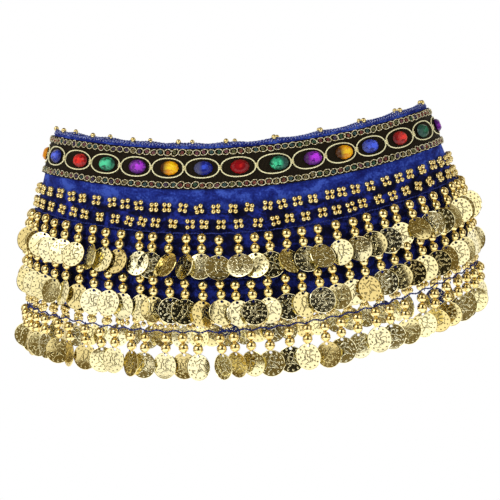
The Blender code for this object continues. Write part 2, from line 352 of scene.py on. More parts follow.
def backingFinish():
    # Knitted polyester back of the velvet: matt, plain blue, with fine wales 1.2 mm apart.
    made, add = startMaterial("velvetBacking")
    surface = add("UVMap", uv_map="surface")
    wales = add("TexWave", take="Fac", Vector=surface, Scale=0.26, Distortion=1.5, Detail=1.0)
    cloud = add("TexNoise", Vector=surface, Scale=0.05, Detail=2.0)
    total = add("Math", (wales, 0.4, cloud), operation="MULTIPLY_ADD")
    tone = add("ValToRGB", (total,), stops=((0.3, "#0C1450"), (0.9, "#22307E")))
    bump = add("Bump", Height=wales, Strength=0.5, Distance=0.0002)
    return shaded(made, Base_Color=tone, Normal=bump, Roughness=0.95, Specular_IOR_Level=0.1)


def threadFinish(name, stops, roughness=0.7):
    # Two-ply thread, 2.4 mm to a turn. Its colour runs light and dark with the twist: painted highlight on
    # each ply's crest and painted shade in the groove between plies.
    made, add = startMaterial(name)
    surface = add("UVMap", uv_map="surface")
    across, run = (add("SeparateXYZ", (surface,), take=key) for key in "XY")
    turn = add("Math", (run, 0.42, across), operation="MULTIPLY_ADD")
    wave = add("Math", (turn, 0.5), operation="PINGPONG")
    # fine specks; where they reach the top of a ramp they are painted glints
    speck = add("TexNoise", Vector=add("TexCoord", take="Object"), Scale=900.0)
    tone = add("ValToRGB", (add("Math", (wave, speck), operation="ADD"),), stops=stops)
    bump = add("Bump", Height=wave, Strength=0.5, Distance=0.0003)
    return shaded(made, Base_Color=tone, Normal=bump, Roughness=roughness, Specular_IOR_Level=0.3)


def ribbonFinish():
    # Woven black rayon ribbon: fine cross ribs with a slight gloss, brownish on the crests, near black
    # between.
    made, add = startMaterial("blackRibbon")
    ribs = add("TexWave", take="Fac", Vector=add("UVMap", uv_map="surface"), Scale=0.32, Distortion=1.0)
    tone = add("ValToRGB", (ribs,), stops=((0.2, "#050402"), (0.9, "#2A2010")))
    bump = add("Bump", Height=ribs, Strength=0.4, Distance=0.0003)
    return shaded(made, Base_Color=tone, Normal=bump, Roughness=0.75, Specular_IOR_Level=0.12)


def silkFinish():
    # Embroidery silks in several colours, each stitch with its own dye from the piece's attribute.
    made, add = startMaterial("embroiderySilk")
    speck = add("TexNoise", Vector=add("TexCoord", take="Object"), Scale=1400.0)
    shade = add("ValToRGB", (speck,), stops=((0.35, 0.35), (0.65, 1.0)))
    mix = add("VectorMath", (add("Attribute", attribute_name="dye"), shade), operation="MULTIPLY")
    return shaded(made, Base_Color=mix, Roughness=0.5, Sheen_Weight=0.2)


def stoneFinish(name, light, deep, shadedEndColour):
    # Acrylic stone foiled behind: each facet throws its own share of colour, a painted reflection of the
    # foil, with painted shade towards the rim. One end catches the light and the other takes painted shade,
    # as the shade attribute says for each stone, and depth paints shade over a whole stone.
    made, add = startMaterial(name)
    local = add("UVMap", uv_map="surface")
    shade, facetGlint, depth = (add("Attribute", take="Fac", attribute_name=key)
                           for key in ("shade", "facetGlint", "depth"))
    back = add("TexVoronoi", take="Color", Vector=local, W=facetGlint, Scale=2.3,
               voronoi_dimensions="4D")  # the back facets, 3 mm each, seen through the front: painted reflections
    glint = add("SeparateXYZ", (back,))
    reach = add("VectorMath", (local,), take="Value", operation="LENGTH")
    # painted shade, growing as the cube of the distance from the middle towards the rim
    rim = add("Math", (reach, 3.0), operation="POWER")
    glow = add("Math", (glint, 0.75, depth), operation="MULTIPLY_ADD")
    paintedFacetShade = add("Math", (rim, 0.5, glow), operation="MULTIPLY_ADD")
    tone = add("ValToRGB", (paintedFacetShade,), stops=((0.2, light), (0.8, deep)))
    # which end takes the painted shade, and how strongly, from -1 to 1
    end = add("Math", (shade, 2.0, -1.0), operation="MULTIPLY_ADD")
    lean = add("Math", (add("SeparateXYZ", (local,)), end), operation="MULTIPLY")
    shadedEndMask = add("MapRange", (lean, 0.02, 0.40))
    mix = add("Mix", {0: shadedEndMask, 6: tone, 7: linear(shadedEndColour)}, take=2, data_type="RGBA")
    return shaded(made, Base_Color=mix, Roughness=0.3, IOR=1.49, Specular_IOR_Level=0.2, Coat_Weight=0.2,
                  Coat_Roughness=0.04)


def beadFinish():
    # Vacuum-plated plastic bead: a warm gold mirror, with a little haze from the tinted lacquer over it.
    made, add = startMaterial("platedBeads")
    haze = add("TexNoise", Vector=add("TexCoord", take="Object"), Scale=260.0, Detail=2.0)
    tone = add("ValToRGB", (haze,), stops=((0.3, "#E6CC7C"), (0.7, "#FAEAB0")))
    rough = add("MapRange", Value=haze, To_Min=0.04, To_Max=0.13)
    return shaded(made, Base_Color=tone, Roughness=rough, Metallic=0.95)


def coinFinish():
    # Stamped light alloy with pale gold wash: a ring of dots and loose strokes in the middle, as low relief
    # on a mirror field. Each coin is dished and a little bent. The design is plain, with no figure and no
    # lettering. The map is in coin radii, with up as +Y.
    dotCount, dotRing = 13, 0.8
    made, add = startMaterial("stampedCoins")
    local = add("UVMap", uv_map="surface")
    die, wash = (add("Attribute", take="Fac", attribute_name=key) for key in ("die", "wash"))
    across, up = (add("SeparateXYZ", (local,), take=key) for key in "XY")
    reach = add("VectorMath", (local,), take="Value", operation="LENGTH")

    # The ring of dots: how far a place is from the nearest dot's middle.
    angle = add("Math", (up, across), operation="ARCTAN2")
    turns = add("Math", (angle, dotCount / (2 * math.pi)), operation="MULTIPLY")
    fold = add("Math", (turns, 0.5), operation="PINGPONG")  # 0 at a dot and 0.5 between two
    sideways = add("Math", (fold, dotRing * 2 * math.pi / dotCount), operation="MULTIPLY")
    inwards = add("Math", (reach, dotRing), operation="SUBTRACT")
    far = add("VectorMath", (add("CombineXYZ", (sideways, inwards)),), take="Value", operation="LENGTH")

    # The strokes: the edges of bent cells, rubbed away in places and kept inside the ring.
    bend, warp = (add("TexNoise", take=key, Vector=local, W=die, Scale=1.6, noise_dimensions="4D")
                  for key in ("Fac", "Color"))
    bent = add("VectorMath", (warp, (1.1, 1.1, 0.0), local), operation="MULTIPLY_ADD")
    strokes = add("TexVoronoi", Vector=bent, Scale=2.6, voronoi_dimensions="2D", feature="DISTANCE_TO_EDGE")
    dots, groove, inside = (add("MapRange", (value, low, high, 1.0, 0.0), interpolation_type="SMOOTHSTEP")
                            for value, low, high in ((far, 0.03, 0.085), (strokes, 0.03, 0.17),
                                                     (reach, 0.58, 0.68)))
    rubbed = add("MapRange", (bend, 0.41, 0.49))
    kept = add("Math", (groove, rubbed), operation="MULTIPLY")
    height = add("Math", (kept, inside, dots), operation="MULTIPLY_ADD")

    # The bowl and each coin's own bends, under the relief.
    own = add("Math", (wash, 14.0), operation="MULTIPLY")
    dent = add("TexNoise", Vector=local, W=own, Scale=0.6, Detail=0.0, noise_dimensions="4D")
    bowl = add("Math", (reach, 2.0), operation="POWER")
    dished = add("Math", (bowl, -1.1, height), operation="MULTIPLY_ADD")
    rolling = add("Math", (dent, 6.0, dished), operation="MULTIPLY_ADD")
    bump = add("Bump", Height=rolling, Strength=1.0, Distance=0.0002)

    pale = add("ValToRGB", (wash,), stops=((0.0, "#DAC684"), (0.3, "#ECE0A6"), (1.0, "#FAF4CC")))
    # painted shade in the relief: its dots and strokes darkened to 0.4 of the coin's colour
    reliefShade = add("MapRange", (height, 0.2, 0.9, 1.0, 0.4))
    tone = add("VectorMath", {0: pale, 3: reliefShade}, operation="SCALE")
    return shaded(made, Base_Color=tone, Normal=bump, Roughness=0.13, Metallic=1.0)


velvetCloth = velvetFinish()
velvetBacking = backingFinish()
blueThread = threadFinish("crochetThread", ((0.45, "#080C30"), (0.95, "#2C3C98")))
# the pale blue top of the edge thread's ramp is painted glints
edgeThread = threadFinish("edgeCrochetThread", ((0.45, "#0A0E38"), (0.75, "#2E3E98"), (0.95, "#A4ACD4")))
# the cream and near-white tops of the gold cords' ramps are painted highlights, their dark feet painted shade
goldCord = threadFinish("goldCord", ((0.3, "#C8B068"), (0.75, "#FFFAC8")), roughness=0.45)
fineGold = threadFinish("fineGoldCord", ((0.45, "#5C4A20"), (0.66, "#D0BA78"), (0.92, "#FFFADC")),
                        roughness=0.45)
blackRibbon = ribbonFinish()
silk = silkFinish()
plated = beadFinish()
stamped = coinFinish()
print("materials made")

# Velvet band, in metres. Each crease: share, drop, length, lean in degrees, half width and depth.
velvet = {
    "columns": 620, "rows": 52, "height": 0.129,
    "creases": (
        (-0.21, 0.042, 0.030, 8, 0.0022, 0.0007), (-0.165, 0.038, 0.022, -12, 0.0018, 0.0005),
        (-0.10, 0.040, 0.034, 5, 0.0025, 0.0008), (-0.045, 0.041, 0.018, 70, 0.0020, 0.0005),
        (0.01, 0.038, 0.028, -6, 0.0020, 0.0006), (0.062, 0.041, 0.020, 55, 0.0022, 0.0007),
        (0.115, 0.039, 0.030, -10, 0.0024, 0.0008), (0.18, 0.041, 0.026, 14, 0.0020, 0.0006),
        (-0.13, 0.085, 0.030, 80, 0.0030, 0.0009), (-0.02, 0.082, 0.034, 95, 0.0032, 0.0010),
        (0.085, 0.090, 0.026, 75, 0.0028, 0.0008), (0.15, 0.080, 0.030, 100, 0.0030, 0.0010),
        (0.255, 0.050, 0.040, 60, 0.0030, 0.0010), (0.31, 0.040, 0.028, 12, 0.0024, 0.0007),
        (0.37, 0.042, 0.036, -8, 0.0026, 0.0008), (0.44, 0.039, 0.024, 20, 0.0022, 0.0007),
        (-0.27, 0.048, 0.036, 115, 0.0030, 0.0010), (-0.33, 0.041, 0.030, -15, 0.0024, 0.0008),
        (-0.39, 0.040, 0.034, 9, 0.0026, 0.0007), (-0.46, 0.042, 0.026, -25, 0.0024, 0.0008),
        (0.34, 0.086, 0.034, 85, 0.0030, 0.0010), (-0.36, 0.084, 0.030, 100, 0.0030, 0.0009),
        (0.42, 0.090, 0.028, 78, 0.0028, 0.0008), (-0.43, 0.088, 0.032, 96, 0.0030, 0.0010),
    ),
    "rowPuckers": (  # drop and sag of each sewn row, and its stitches all round
        (0.0490, 0.0014, 70), (0.0606, 0.0008, 70), (0.0670, 0.0, 70), (0.1010, 0.0034, 74),
    ),
    "puckerDepth": 0.00035, "puckerHeight": 0.0022, "deepest": 0.0018,
    "hemWave": 0.0006, "hemWaves": 70, "hemFrom": 0.118,
}


def makeVelvet():
    # Proud = minus each crease's trough, depth exp(-(across/width)^2) fading at its ends, minus a pucker at
    # every stitch of the bead rows. The hem waves up a little between its lace joints.
    lapEnd = 0.5 + hips["lap"] / girthAt(0.0)
    share, drop = np.meshgrid(np.linspace(-0.5, lapEnd, velvet["columns"]),
                              np.linspace(0, velvet["height"], velvet["rows"]), indexing="ij")
    across = share * girthAt(drop)
    proud = np.zeros_like(share)
    for place, height, length, lean, width, depth in velvet["creases"]:
        x, y = across - place * girthAt(height), drop - height
        turn = math.radians(lean)
        run, off = x * math.cos(turn) + y * math.sin(turn), y * math.cos(turn) - x * math.sin(turn)
        bow = off - 0.12 * run ** 2 / length
        proud -= depth * np.exp(-(bow / width) ** 2 - (run / length * 1.8) ** 4)
    for height, sag, stitches in velvet["rowPuckers"]:
        trough = np.exp(-((drop - rowDrop(share, height, sag)) / velvet["puckerHeight"]) ** 2)
        proud -= velvet["puckerDepth"] * trough * (1 + 0.6 * np.cos(2 * np.pi * share * stitches))
    hemWave = velvet["hemWave"] * (1 - np.cos(2 * np.pi * share * velvet["hemWaves"]))
    hemWave = hemWave * smoothStep(velvet["hemFrom"], velvet["height"], drop)
    points = onCloth(share, drop - hemWave, np.clip(proud, -velvet["deepest"], 0))
    piece = clothSheet("velvetBand", points, across, drop, (velvetCloth, velvetBacking), hips["wall"] * 0.9,
                       ["velvet_band"])


makeVelvet()
print("velvet band made")

# Braid, in metres, and turns in radians. Its ovals stand in even places, crowded towards the centre front as
# far as the ninth.
braid = {
    "top": 0.0036, "foot": 0.0341, "middle": 0.01835, "proud": 0.0015, "thickness": 0.0011, "endGap": 0.0004,
    "columns": 500, "rows": 22,
    "ovals": 29, "crowding": 0.2, "crowded": 9, "rise": 0.0072, "clear": 0.0007, "squareness": 2.2,
    "dip": 0.00025,  # how far the knots between the ovals pull the ribbon in
    "cordRadius": 0.0005, "cordPitch": 0.0026, "cordStep": 0.00065,
    "knot": (0.0016, 0.00058, 0.0009), "knotPitch": 0.0012, "knotProud": 0.0012,
    "ringPitch": 0.0055, "ringWidth": 0.0031, "ringHeight": 0.0022, "ringCord": 0.00030, "ringTip": 0.16,
    "ringProud": 0.00055, "ringSizes": (0.86, 1.06), "ringTurnSpread": 0.3, "ringDropSpread": 0.0002,
    "curlCord": 0.00028, "curlReach": 0.62, "curlTurns": 1.4, "borderInset": 0.0030, "borderShare": 0.998,
    "silks": ("#9C4038", "#A8606A", "#2E7048", "#8C8C48", "#5C4070", "#B09A5C", "#3C6C68", "#B05A40"),
    "seed": 5,
}
braidGirth = girthAt(braid["middle"])


def ovalShare(place):  # even places, crowded towards the centre front on the front curves
    reach = np.minimum(np.abs(place) / braid["crowded"], 1.0)
    return (place - np.sign(place) * braid["crowding"] * np.sin(np.pi * reach) ** 3) / braid["ovals"]


def makeRibbon():  # a grid on the cloth: proud = seat - dip |sin(pi ovals share)|^8, lowest between two ovals
    end = 0.5 - braid["endGap"] / girthAt(0.0)
    share, drop = np.meshgrid(np.linspace(-end, end, braid["columns"]),
                              np.linspace(braid["top"], braid["foot"], braid["rows"]), indexing="ij")
    proud = braid["proud"] - braid["dip"] * np.abs(np.sin(share * braid["ovals"] * np.pi)) ** 8
    piece = clothSheet("braidRibbon", onCloth(share, drop, proud), share * braidGirth, drop, (blackRibbon,),
                       braid["thickness"], ["jewel_braid"])


def ringShape(wide, high, cord, around, sides):
    # A flat ring: centre line (wide cos a, high sin a), with a round cord about it.
    a = np.arange(around) * 2 * np.pi / around
    b = np.arange(sides) * 2 * np.pi / sides
    normal = unit(np.stack([high * np.cos(a), wide * np.sin(a), np.zeros(around)], -1))
    line = np.stack([wide * np.cos(a), high * np.sin(a), np.zeros(around)], -1)
    points = line[:, None] + cord * (np.cos(b)[None, :, None] * normal[:, None]
                                     + np.sin(b)[None, :, None] * np.array((0, 0, 1.0)))
    quads, cornerRows, cornerColumns = gridFaces(around, sides, roundRows=True, roundColumns=True)
    uvs = np.stack([cornerColumns / sides, cornerRows / around * 1000 * np.pi * (wide + high)], -1)
    return points.reshape(-1, 3), [quads], [uvs]


def curlShape():  # a spiral whose radius shrinks to a fifth
    t = np.linspace(0, 1, 17)
    radius = braid["ringHeight"] * braid["curlReach"] * (1 - 0.8 * t)
    angle = 2 * np.pi * braid["curlTurns"] * t
    path = np.stack([radius * np.cos(angle), radius * np.sin(angle), np.zeros(17)], -1)
    return tube(path, np.tile([0.0, 0.0, 1.0], (17, 1)), braid["curlCord"], 4)


def makeOvalCords():
    # One cord round each stone: |u / half length|^n + |v / rise|^n = 1, drawn with the angle of an ellipse.
    edges = ovalShare(np.arange(braid["ovals"] + 1) - braid["ovals"] / 2)
    a = np.linspace(0, 2 * np.pi, 121)
    power = 2 / braid["squareness"]
    u = np.sign(np.cos(a)) * np.abs(np.cos(a)) ** power
    v = np.sign(np.sin(a)) * np.abs(np.sin(a)) ** power
    cords = []
    for left, right in zip(edges[:-1], edges[1:]):
        half = (right - left) / 2 - braid["clear"] / braidGirth
        share, drop = (left + right) / 2 + half * u, braid["middle"] + braid["rise"] * v
        path, outs = evenly(onCloth(share, drop, braid["proud"] + braid["cordRadius"] * 0.8),
                            braid["cordStep"], clothAxes(share, drop)[2])
        cords.append(tube(path[:-1], outs[:-1], braid["cordRadius"], 8, braid["cordPitch"], 0.1, closed=True))
    meshPiece("ovalCords", joined(cords), goldCord)


def makeKnots():  # three short stitches hold each pair of ovals together
    ends = ovalShare(np.arange(1, braid["ovals"]) - braid["ovals"] / 2)
    long, high, deep = braid["knot"]
    knots = []
    for row in (-1, 0, 1):
        drop = braid["middle"] + row * braid["knotPitch"]
        along, down, out = clothAxes(ends, drop)
        knots.append(copies(ballShape(8, 5), onCloth(ends, drop, braid["proud"] + braid["knotProud"]),
                            np.stack([along * long, down * high, out * deep], 1)))
    meshPiece("separatorStitches", joined(knots), goldCord)


def makeBorders():
    # Rows of gold rings, each tipped so that its right side passes over the next one, with a curl of
    # coloured silk inside.
    chance = np.random.default_rng(braid["seed"])
    rings, curls, dyes = [], [], []
    silkColours = np.array([linear(code) for code in braid["silks"]])
    ring = ringShape(braid["ringWidth"], braid["ringHeight"], braid["ringCord"], 14, 5)
    curl = curlShape()
    for level in (braid["top"] + braid["borderInset"], braid["foot"] - braid["borderInset"]):
        count = int(girthAt(level) * braid["borderShare"] / braid["ringPitch"])
        shares = evenShares(count) * braid["borderShare"]
        drops = level + chance.normal(0, braid["ringDropSpread"], count)
        along, down, out = clothAxes(shares, drops)
        first, second = turned(along, down, chance.normal(0, braid["ringTurnSpread"], count))
        first, front = turned(first, out, np.full(count, braid["ringTip"]))
        axes = np.stack([first, -second, front], 1) * chance.uniform(*braid["ringSizes"], (count, 1, 1))
        centres = onCloth(shares, drops, braid["proud"] + braid["ringProud"])
        rings.append(copies(ring, centres, axes))
        first, second = turned(along, down, chance.uniform(0, 6.28, count))
        curls.append(copies(curl, centres + out * 0.0001, np.stack([first, -second, out], 1)))
        dyes.append(np.repeat(silkColours[chance.integers(0, len(silkColours), count)], len(curl[0]), 0))
    meshPiece("borderRings", joined(rings), fineGold)
    meshPiece("borderSilks", joined(curls), silk, values={"dye": np.concatenate(dyes)})


makeRibbon()
makeOvalCords()
makeKnots()
makeBorders()
print("braid made")

# Stones, in metres. Each has its own node, colour by turns, and slips a little in its oval. The tables run
# over thirteen stones, from the sixth left of the centre front to the sixth right of it, and then repeat.
stones = {
    "width": 0.0145, "height": 0.0108, "depth": 0.0034, "table": 0.60, "girdle": 0.16, "seat": 0.0018,
    "sides": 12, "seed": 11,
    "colours": ("blue", "red", "green", "purple", "amber"),
    "slips": (30, 35, 16, 15, 15, 11, 13, 35, 31, 27, -10, -4, -25),  # tenths of a millimetre to the right
    # painted shade: the end of each stone that goes dull, by sign and strength, and a darkening of a whole
    # stone
    "shadedEnds": (0.1, 0.2, 0.3, -0.4, -0.7, -1.0, 0.4, 0.9, -0.6, -0.7, -0.3, -0.5, -0.5),  # end in painted shade
    "wholeStoneShades": (0.2, 0.05, 0.0, 0.1, 0.0, 0.4, 0.55, 0.0, 0.0, 0.05, 0.0, 0.05, 0.5),  # painted shade, whole stone
    "looks": {  # lit, deep and painted shade colours
        "blue": ("#4464F8", "#0C1878", "#4A4C70"), "red": ("#FF3428", "#8C0410", "#6C1418"),
        "green": ("#4CDCA0", "#044C38", "#2C5048"), "purple": ("#C438EC", "#4C0870", "#401A54"),
        "amber": ("#FFD400", "#E08C00", "#4C2806"),
    },
}


def stoneShape():
    # Rings of a flattened gem: foot, girdle, crown (turned by half a facet) and table, all ellipses. Points
    # are in stone widths, heights and depths.
    sides = stones["sides"]
    points = stackedRings(((0.46, 0.0, 0.0, 0.0), (0.5, stones["girdle"], 0.0, 0.0), (0.43, 0.62, 0.0, 0.5),
                           (stones["table"] / 2, 1.0, 0.0, 0.0)), sides)
    near, ahead = np.arange(sides), (np.arange(sides) + 1) % sides
    girdle, crown, table = sides, 2 * sides, 3 * sides
    triangles = np.concatenate([np.stack([girdle + near, girdle + ahead, crown + near], -1),
                                np.stack([crown + near, girdle + ahead, crown + ahead], -1),
                                np.stack([crown + near, crown + ahead, table + ahead], -1),
                                np.stack([table + near, crown + near, table + ahead], -1)])
    quads = np.stack([near, ahead, girdle + ahead, girdle + near], -1)
    return points, [triangles, quads, np.stack([near[::-1], table + near])]


def makeStones():
    finishes = {key: stoneFinish(key + "Stone", *look) for key, look in stones["looks"].items()}
    last = braid["ovals"] // 2
    chance = np.random.default_rng(stones["seed"])
    local, faceSets = stoneShape()
    spread = local * (stones["width"], stones["height"], stones["depth"])
    uvSets = [local[faces][..., :2] * 2 for faces in faceSets]
    for place in range(-last, last + 1):
        slip, shade, depth = (stones[key][(place + 6) % 13] for key in ("slips", "shadedEnds", "wholeStoneShades"))
        share = ovalShare(place) + (0 if abs(place) == last else slip * 0.0001) / braidGirth
        along, down, out = clothAxes(share, braid["middle"])
        points = onCloth(share, braid["middle"], stones["seat"]) + spread @ np.stack([along, -down, out])
        colour = stones["colours"][(place + 1) % 5]
        number = f"{place + last + 1:02d}"
        piece = meshPiece("stone" + number, (points, faceSets, uvSets), finishes[colour],
                          ["gem_" + number], smooth=False)
        faces = len(piece.data.polygons)
        addValues(piece.data, "FACE", {"facetGlint": chance.uniform(0, 0.7, faces),
                                       "shade": np.full(faces, (shade + 1) / 2),  # 0 to 1 for -1 to 1
                                       "depth": np.full(faces, depth)})


makeStones()
print("stones made")

# Small beads, in metres: crocheted clusters of four in two rows and in the lace.
smallBeads = {
    "radius": 0.00205, "spread": 0.0040, "seat": 0.0004, "seed": 23,
    "rows": ((0.0490, 70, 0.0, 0.0014), (0.0606, 70, 0.35, 0.0008)),  # drop, clusters, phase and sag
    "laceDrop": 0.1334, "laceProud": 0.0022, "laceClusters": 70, "lacePhase": 0.20, "laceSpread": 0.05,
    "wanders": ((0.12, 38), (0.06, 101)),  # waves along a row: size in clusters, and radians all round
    "placeSpread": 0.04, "dropSpread": 0.0003, "turnSpread": 0.14, "squareSizes": (0.94, 1.06),
    "beadSpread": 0.00018,
}


def clusterBeads(shares, drop, proud, chance):
    # Four beads at the corners of a square, each square turned a little: corner = spread / 2 (+-1, +-1).
    count = len(shares)
    along, down, out = clothAxes(shares, drop)
    first, second = turned(along, down, chance.normal(0, smallBeads["turnSpread"], count))
    half = smallBeads["spread"] / 2 * chance.uniform(*smallBeads["squareSizes"], count)[:, None]
    middle = onCloth(shares, drop, proud)
    centres = np.concatenate([middle + (first * x + second * y) * half for x in (-1, 1) for y in (-1, 1)])
    loose = chance.normal(0, smallBeads["beadSpread"], centres.shape)
    axes = np.stack([np.tile(first, (4, 1)), np.tile(out, (4, 1)), -np.tile(second, (4, 1))], 1)
    return centres + loose, axes * smallBeads["radius"]


def makeSmallBeads():
    chance = np.random.default_rng(smallBeads["seed"])
    ball = ballShape(8, 6)
    rows = []
    for drop, count, phase, sag in smallBeads["rows"]:
        shares = evenShares(count, phase)
        wander = sum(size * np.sin(shares * waves) for size, waves in smallBeads["wanders"])
        shares = shares + (wander + chance.normal(0, smallBeads["placeSpread"], count)) / count
        drops = rowDrop(shares, drop, sag) + chance.normal(0, smallBeads["dropSpread"], count)
        rows.append(clusterBeads(shares, drops, smallBeads["seat"] + smallBeads["radius"], chance))
    centres, axes = (np.concatenate(parts) for parts in zip(*rows))
    meshPiece("clusterBeads", copies(ball, centres, axes), plated)
    count = smallBeads["laceClusters"]
    shares = evenShares(count, smallBeads["lacePhase"])
    shares = shares + chance.normal(0, smallBeads["laceSpread"] / count, count)
    lace = copies(ball, *clusterBeads(shares, smallBeads["laceDrop"], smallBeads["laceProud"], chance))
    meshPiece("laceBeads", lace, plated, ["coin_fringe_lower"])


# Top edging, in metres: a thick cord on the edge, a thinner one in scallops, and stitches between them.
edging = {
    "peaks": 21, "phase": -0.22, "low": -0.0002, "rise": 0.0011,
    "beadRadius": 0.0020, "beadDrop": -0.0016, "beadProud": 0.0004,
    "cordDrop": 0.0006, "cordProud": -0.0004, "cordRadius": 0.0008, "cordWobble": 0.0003, "cordWaves": 1900,
    "scallopProud": -0.0007, "scallopRadius": 0.0006, "scallopWobble": 0.00015, "scallopPitch": 0.0031,
    "stitchDrop": 0.0021, "stitchProud": 0.0004, "stitchLean": 0.0009, "stitchRadius": 0.00038,
    "stitchPitch": 0.0030,
}


def makeEdgeBeads():  # one bead on each peak of the top edge
    peaks = (np.arange(edging["peaks"]) + edging["phase"]) / edging["peaks"]
    peaks = (peaks + 0.5) % 1.0 - 0.5
    along, down, out = clothAxes(peaks, 0.0)
    axes = np.stack([along, out, -down], 1) * edging["beadRadius"]
    beads = copies(ballShape(10, 7), onCloth(peaks, edging["beadDrop"], edging["beadProud"]), axes)
    meshPiece("edgeBeads", beads, plated)


def makeEdging():
    # The scallops' height is low + rise cos^2(pi peaks share), to the power 1.4, and the stitches zigzag
    # from the velvet up to the scallops.
    share = np.linspace(-hips["threadEnd"], hips["threadEnd"], 3000)
    run = share * girthAt(0.0)
    peaked = np.cos(np.pi * (share * edging["peaks"] - edging["phase"])) ** 2
    height = edging["low"] + edging["rise"] * peaked ** 1.4
    drop = edging["cordDrop"] - edging["cordWobble"] * np.sin(run * edging["cordWaves"])
    cord = twistedLine(share, drop, edging["cordProud"], edging["cordRadius"], 7, 0.0022)
    drop = -height - edging["scallopWobble"] * np.sin(run * 2 * np.pi / edging["scallopPitch"])
    scallop = twistedLine(share, drop, edging["scallopProud"], edging["scallopRadius"], 6, 0.0018)
    zig = np.arcsin(np.sin(run * 2 * np.pi / edging["stitchPitch"])) / np.pi + 0.5
    drop = edging["stitchDrop"] - zig * (edging["stitchDrop"] + height)
    proud = edging["stitchProud"] - zig * edging["stitchLean"]
    stitches = twistedLine(share, drop, proud, edging["stitchRadius"], 5, 0.0016)
    meshPiece("topEdging", joined([cord, scallop, stitches]), edgeThread, ["top_edging"])


makeSmallBeads()
makeEdgeBeads()
makeEdging()
print("small beads and edging made")

# Coin fringes. Drops and sizes in metres, turns in degrees and leans in radians.
fringes = {
    "bead": 0.0078, "coin": 0.0200, "coinThick": 0.0007, "hole": 0.0011, "holeAt": -0.0018, "seat": 0.0005,
    "cord": 0.0006, "linkRadius": 0.0004, "linkFrom": -0.0006, "linkLength": 0.0176, "linkLean": 0.0016,
    "firstBead": 0.0046, "secondBead": 0.0122, "coinTop": 0.0161, "coinLift": 0.0004, "coinClear": 0.0009,
    # What chance moves: places in strands, sway in metres for each metre down, and turns of beads and coins.
    "seed": 41, "placeSpread": 0.07, "dropSpread": 0.0005, "swaySpread": 0.05, "proudSpread": 0.0002,
    "beadSizes": (0.97, 1.02), "tipSpread": 0.12, "rollSpread": 0.06,
    "yawSpread": 21, "yawMost": 42, "leanSpread": 0.08, "leanLeast": -0.14, "leanMost": 0.2,
    "twists": (0, 6, -6, 12, 18, -12), "lifts": (0, 0.05, 0.1, 0.16, 0.22),  # tried to clear the coin before
    # Mean turn of the coins at shares from the back round the left, front and right to the back again.
    "yawShares": (-0.5, -0.33, -0.26, -0.20, -0.13, -0.05, 0.05, 0.13, 0.20, 0.26, 0.33, 0.5),
    "yaws": (0, -22, -46, -30, -4, 2, -2, 14, 24, 38, 22, 0),
    "rows": (  # piece name, node, drop, sag, strands, phase, swing of the coin's foot, wave of the thread
        ("Upper", "coin_fringe_upper", 0.0670, 0.0, 70, 0.10, 0.0038, 0.0003),
        ("Middle", "coin_fringe_middle", 0.1010, 0.0034, 74, -0.15, 0.0022, 0.0003),
        ("Lower", "coin_fringe_lower", 0.1389, 0.0, 70, -0.30, 0.0004, 0.0007),
    ),
}
beadOut = fringes["seat"] + fringes["bead"] / 2  # how far out from the cloth the strands hang


def coinShape(segments=20):
    # Rings from the hole's edge out to the rim and back behind, each a circle whose centre slides from the
    # hole's to the coin's. Local x across, y up, z out of the face, with the top of the coin at y = 0.
    radius, half = fringes["coin"] / 2, fringes["coinThick"] / 2
    hole, holeAt = fringes["hole"], fringes["holeAt"]
    rings = ((hole, half / 2, holeAt, 0), (radius * 0.95, half / 2, -radius, 0),
             (radius * 0.97, half, -radius, 0), (radius, half / 2, -radius, 0),
             (radius * 0.99, -half, -radius, 0), (hole, -half, holeAt, 0))
    points = stackedRings(rings, segments)
    quads = gridFaces(len(rings), segments, roundRows=True, roundColumns=True)[0]
    flat = points[:, :2] / radius + (0, 1)
    return points, [quads], [flat[quads]]


def coinPlan(shares, drops, leans, yaws, rolls):
    # Chooses each coin's lean and yaw in turn, so that it passes wholly before or behind the one beside it.
    # A coin is its clearance, centre, axes across, up and out, and top.
    along, down, out = clothAxes(shares, drops)
    tops = onCloth(shares, drops, beadOut)
    radius = fringes["coin"] / 2
    spots = np.array([(r * math.cos(t), r * math.sin(t)) for r in (0.35, 0.7, 1.0)
                      for t in np.linspace(0, 2 * math.pi, 17)[:-1]]) * radius
    tries = [(lift, twist) for twist in fringes["twists"] for lift in fringes["lifts"]]
    plans = []
    for k in range(len(shares)):
        others = plans[-1:] + (plans[:1] if k == len(shares) - 1 else [])
        best = None
        for lift, twist in tries:
            below, face = turned(down[k], out[k], leans[k] + lift)
            below, across = turned(below, along[k], rolls[k])
            across, face = turned(across, face, math.radians(yaws[k] + twist))
            centre = tops[k] + below * radius
            worst = min([1.0] + [discGap(centre, across, below, spots, other, radius) for other in others])
            if best is None or worst > best[0] + 1e-6:
                best = (worst, centre, across, -below, face, tops[k])
            if worst > fringes["coinClear"]:
                break
        plans.append(best)
    return plans


def discGap(centre, across, below, spots, other, radius):
    # Signed distances of this disc's spots from the other's plane, over the other disc and 0.4 mm round it:
    # the least if they all lie on one side, and 0 if they pass through it.
    rel = centre + spots[:, :1] * across + spots[:, 1:] * below - other[1]
    inside = np.hypot(rel @ other[2], rel @ other[3]) < radius + 0.0004
    away = (rel @ other[4])[inside]
    if len(away) == 0:
        return 1.0
    return 0.0 if away.min() < 0 < away.max() else float(np.abs(away).min())


def hangBeads(name, node, shares, drops, sway, chance):  # two beads to a strand, one under the other
    count = len(shares)
    centres, axes = [], []
    for below in (fringes["firstBead"], fringes["secondBead"]):
        place, level = shares + sway * (below - fringes["firstBead"]), drops + below
        along, down, out = clothAxes(place, level)
        centres.append(onCloth(place, level, beadOut + chance.normal(0, fringes["proudSpread"], count)))
        size = fringes["bead"] / 2 * chance.uniform(*fringes["beadSizes"], (count, 1, 1))
        upright, side = turned(-down, along, chance.normal(0, fringes["tipSpread"], count))
        axes.append(np.stack([side, out, upright], 1) * size)
    beads = copies(ballShape(12, 8), np.concatenate(centres), np.concatenate(axes))
    meshPiece("beads" + name, beads, plated, [node])


